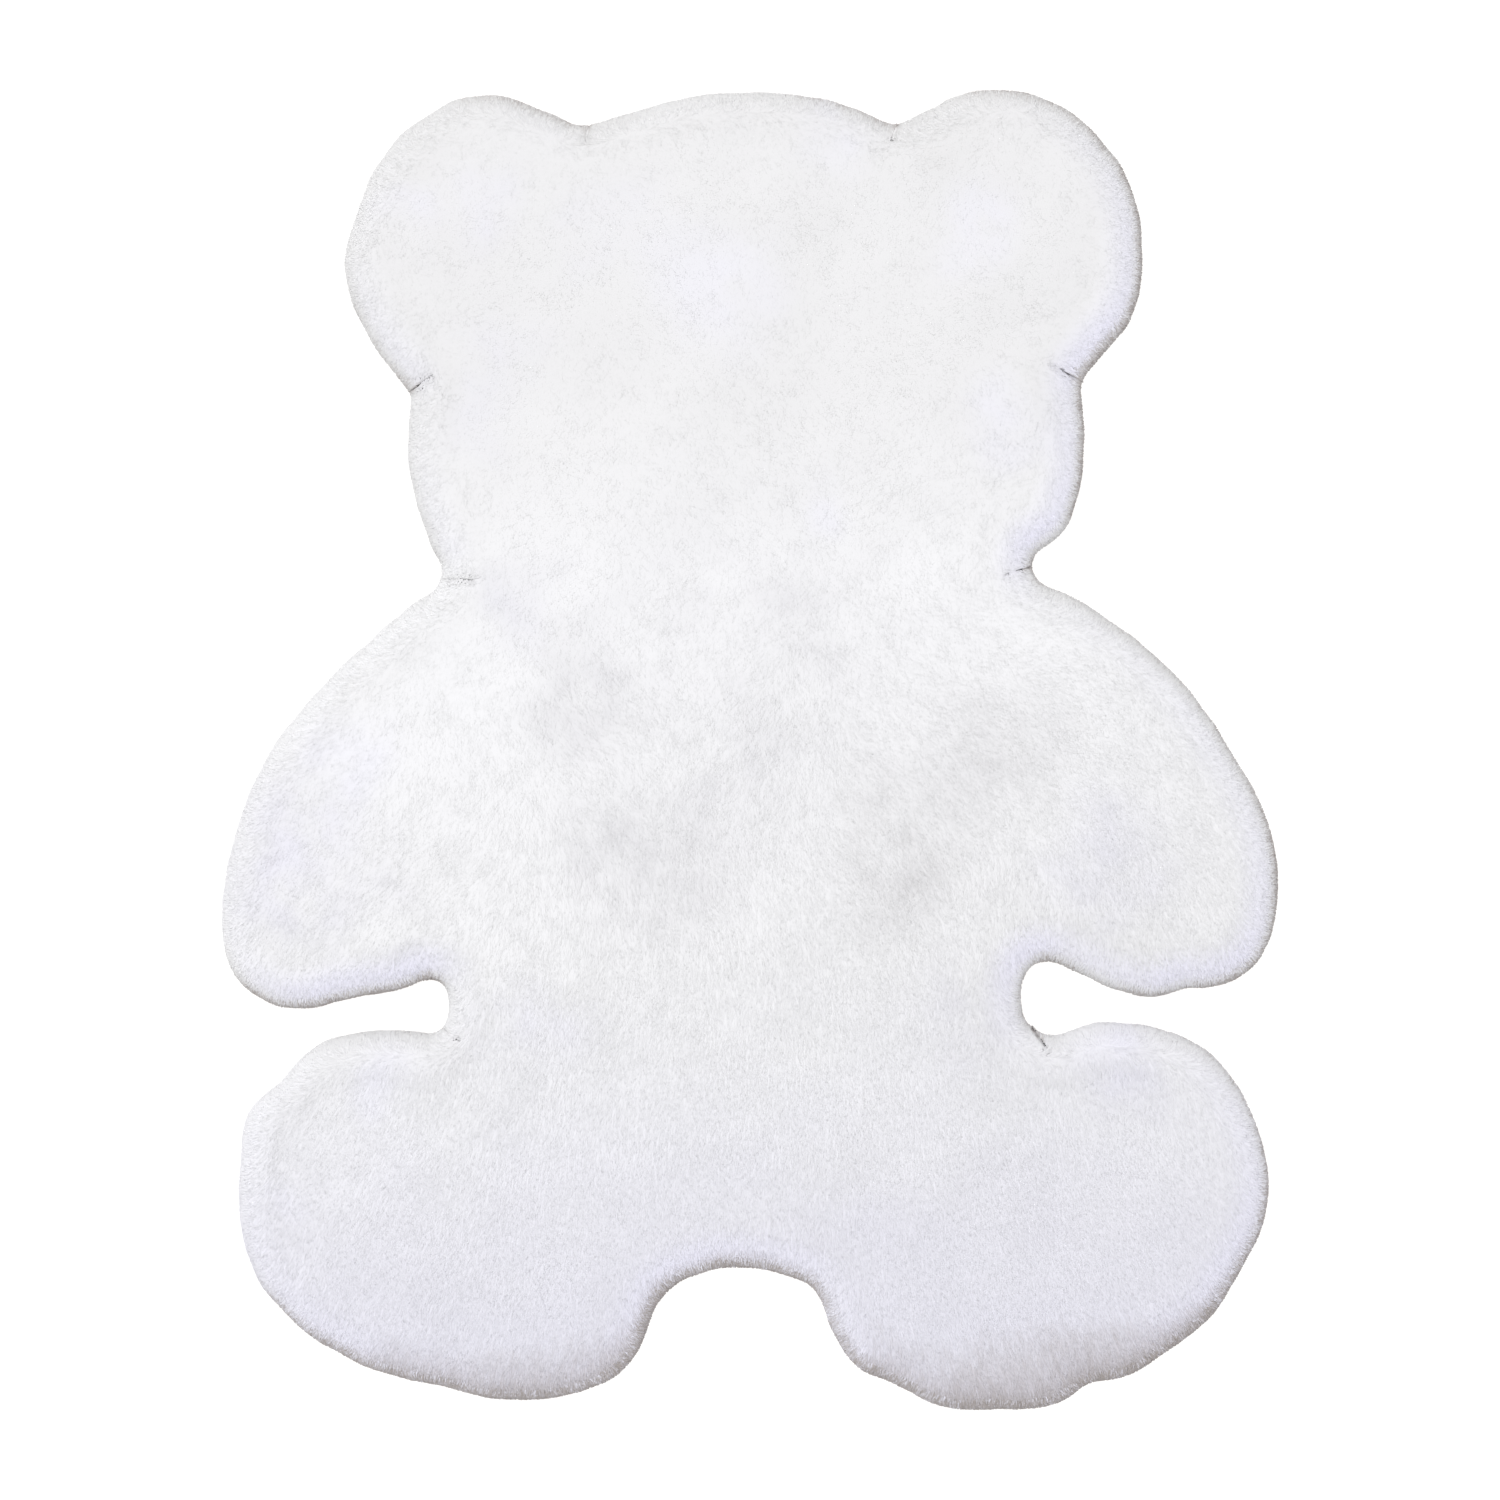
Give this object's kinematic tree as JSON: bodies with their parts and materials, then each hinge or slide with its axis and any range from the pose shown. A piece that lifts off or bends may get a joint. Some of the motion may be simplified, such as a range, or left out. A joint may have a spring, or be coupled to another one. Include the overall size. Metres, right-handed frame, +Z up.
{
  "type": "bear shaped kids rug",
  "caption": "Flat plush rug cut to a bear's outline, with ears, arms and legs, dense pile on top and fluffy locks round its rim, for a child to lie and play on.",
  "frame": {"origin": "middle of the rug's bounding box, on the floor that its flat underside rests on", "axes": "+Z up out of the pile, +Y along the rug's length from the feet to the ears, +X to the right as the rug is seen from above with its ears up"},
  "size_m": [0.8, 1, 0.0277],
  "materials": {
    "plush": "soft matt plush pile, near white with a cool grey-lilac cast"
  },
  "bodies": {
    "root": {"fur_rug": "plush"}
  },
  "joints": []
}
